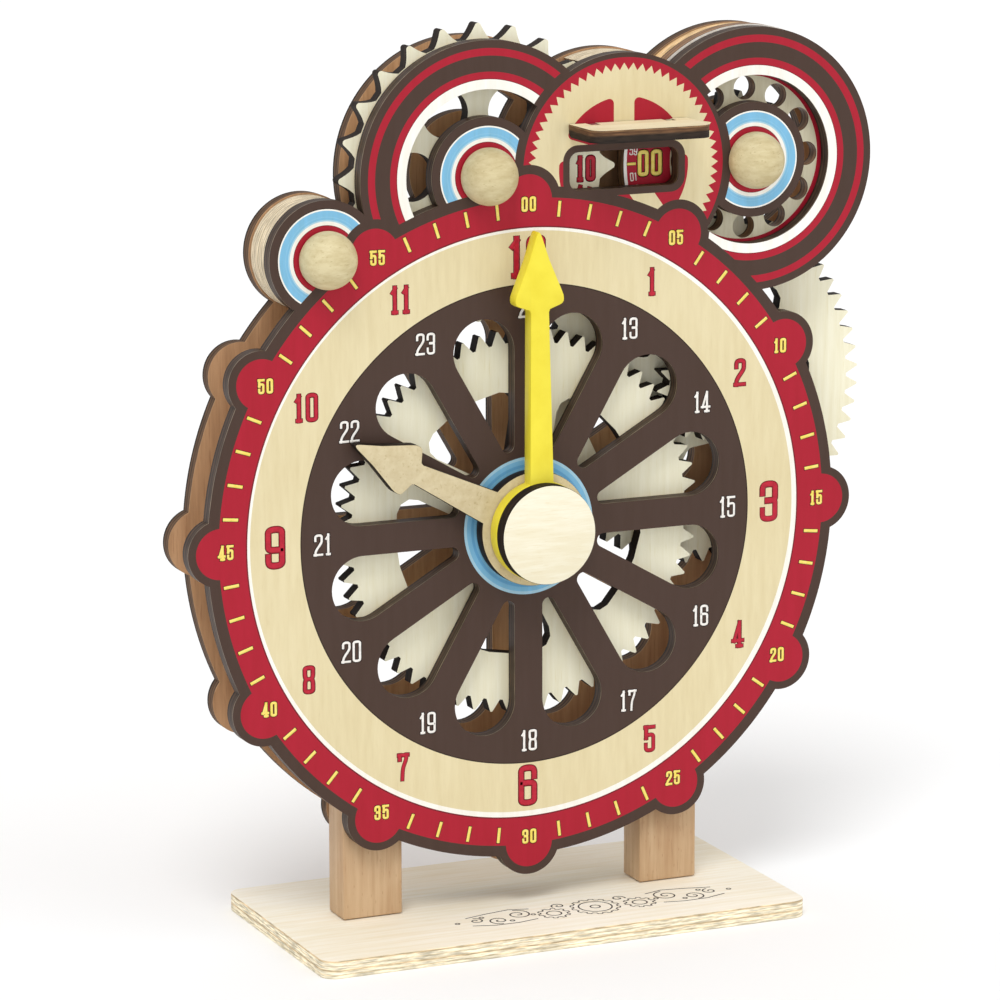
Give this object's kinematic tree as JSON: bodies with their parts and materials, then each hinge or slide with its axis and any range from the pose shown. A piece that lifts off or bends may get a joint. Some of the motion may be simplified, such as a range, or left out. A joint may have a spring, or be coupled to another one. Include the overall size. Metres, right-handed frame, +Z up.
{
  "type": "geared wooden teaching clock",
  "caption": "Wooden teaching clock on a stand: a dial with turning hands, a gear train between its plates, and a window with a flap that shows the time as digits.",
  "frame": {"origin": "middle of the underside of the base", "axes": "+X to the right as the dial is read, +Y away from the reader (the dial faces -Y), +Z up"},
  "size_m": [0.2354, 0.086, 0.2865],
  "materials": {
    "printed_ply": "plywood printed in red, brown and pale wood, satin",
    "stained_ply": "plain brown plywood, matt",
    "birch_ply": "bare birch plywood, matt",
    "gear_ply": "bare pale plywood with burnt edges, matt",
    "beech": "bare turned or sawn beech, smooth",
    "yellow_paint": "plywood painted yellow, satin",
    "steel": "zinc-plated, smooth"
  },
  "bodies": {
    "stand": {"base_plate": "birch_ply", "base_screw_1": "steel", "base_screw_2": "steel", "base_screw_3": "steel", "base_screw_4": "steel", "left_leg": "beech", "right_leg": "beech", "front_plate": "printed_ply", "rear_plate": "stained_ply", "ring_spacer_front": "birch_ply", "ring_spacer_rear": "birch_ply", "crown_spacer_front": "birch_ply", "crown_spacer_rear": "birch_ply", "disc_guard": "birch_ply", "plate_screw_1": "steel", "plate_screw_2": "steel", "plate_screw_3": "steel", "plate_screw_4": "steel", "plate_screw_5": "steel", "transfer_axle": "beech", "flap_pin": "steel", "flap_eye_1": "steel", "flap_eye_2": "steel"},
    "minute_train": {"minute_hand": "yellow_paint", "minute_arbor": "beech", "hub_cap": "beech", "minute_arbor_collar": "beech", "minute_pinion": "gear_ply"},
    "hour_train": {"hour_hand": "birch_ply", "hour_sleeve": "beech", "hour_wheel": "gear_ply"},
    "transfer": {"transfer_wheel": "gear_ply", "transfer_pinion": "gear_ply"},
    "minute_counter": {"minute_disc": "gear_ply", "disc_pinion": "gear_ply", "disc_shaft": "beech", "disc_knob": "beech", "disc_collar": "beech"},
    "hour_star": {"star_wheel": "gear_ply", "star_shaft": "beech", "star_knob": "beech", "star_collar": "beech"},
    "setting": {"setting_wheel": "gear_ply", "setting_shaft": "beech", "setting_knob": "beech", "setting_collar": "beech"},
    "flap": {"window_flap": "birch_ply"}
  },
  "joints": [
    {"name": "minute_spin", "type": "hinge", "parent": "stand", "child": "minute_train", "pos_m": [0, 0, 0.1288], "axis": [0, 1, 0], "continuous": true},
    {"name": "hour_spin", "type": "hinge", "parent": "stand", "child": "hour_train", "pos_m": [0, 0, 0.1288], "axis": [0, 1, 0], "continuous": true},
    {"name": "transfer_spin", "type": "hinge", "parent": "stand", "child": "transfer", "pos_m": [0.06432, 0, 0.16659], "axis": [0, 1, 0], "continuous": true},
    {"name": "disc_spin", "type": "hinge", "parent": "stand", "child": "minute_counter", "pos_m": [0.0776, 0, 0.24], "axis": [0, 1, 0], "continuous": true},
    {"name": "star_spin", "type": "hinge", "parent": "stand", "child": "hour_star", "pos_m": [-0.0141, 0, 0.24], "axis": [0, 1, 0], "continuous": true},
    {"name": "setting_spin", "type": "hinge", "parent": "stand", "child": "setting", "pos_m": [-0.0676, 0, 0.2174], "axis": [0, 1, 0], "continuous": true},
    {"name": "flap_hinge", "type": "hinge", "parent": "stand", "child": "flap", "pos_m": [0.03385, -0.0123, 0.2525], "axis": [1, 0, 0], "range_deg": [0, 90]}
  ],
  "couplings": [
    {"joint": "transfer_spin", "follows": "minute_spin", "ratio": -0.33333},
    {"joint": "hour_spin", "follows": "minute_spin", "ratio": 0.083333},
    {"joint": "disc_spin", "follows": "minute_spin", "ratio": 1},
    {"joint": "setting_spin", "follows": "star_spin", "ratio": -3}
  ]
}
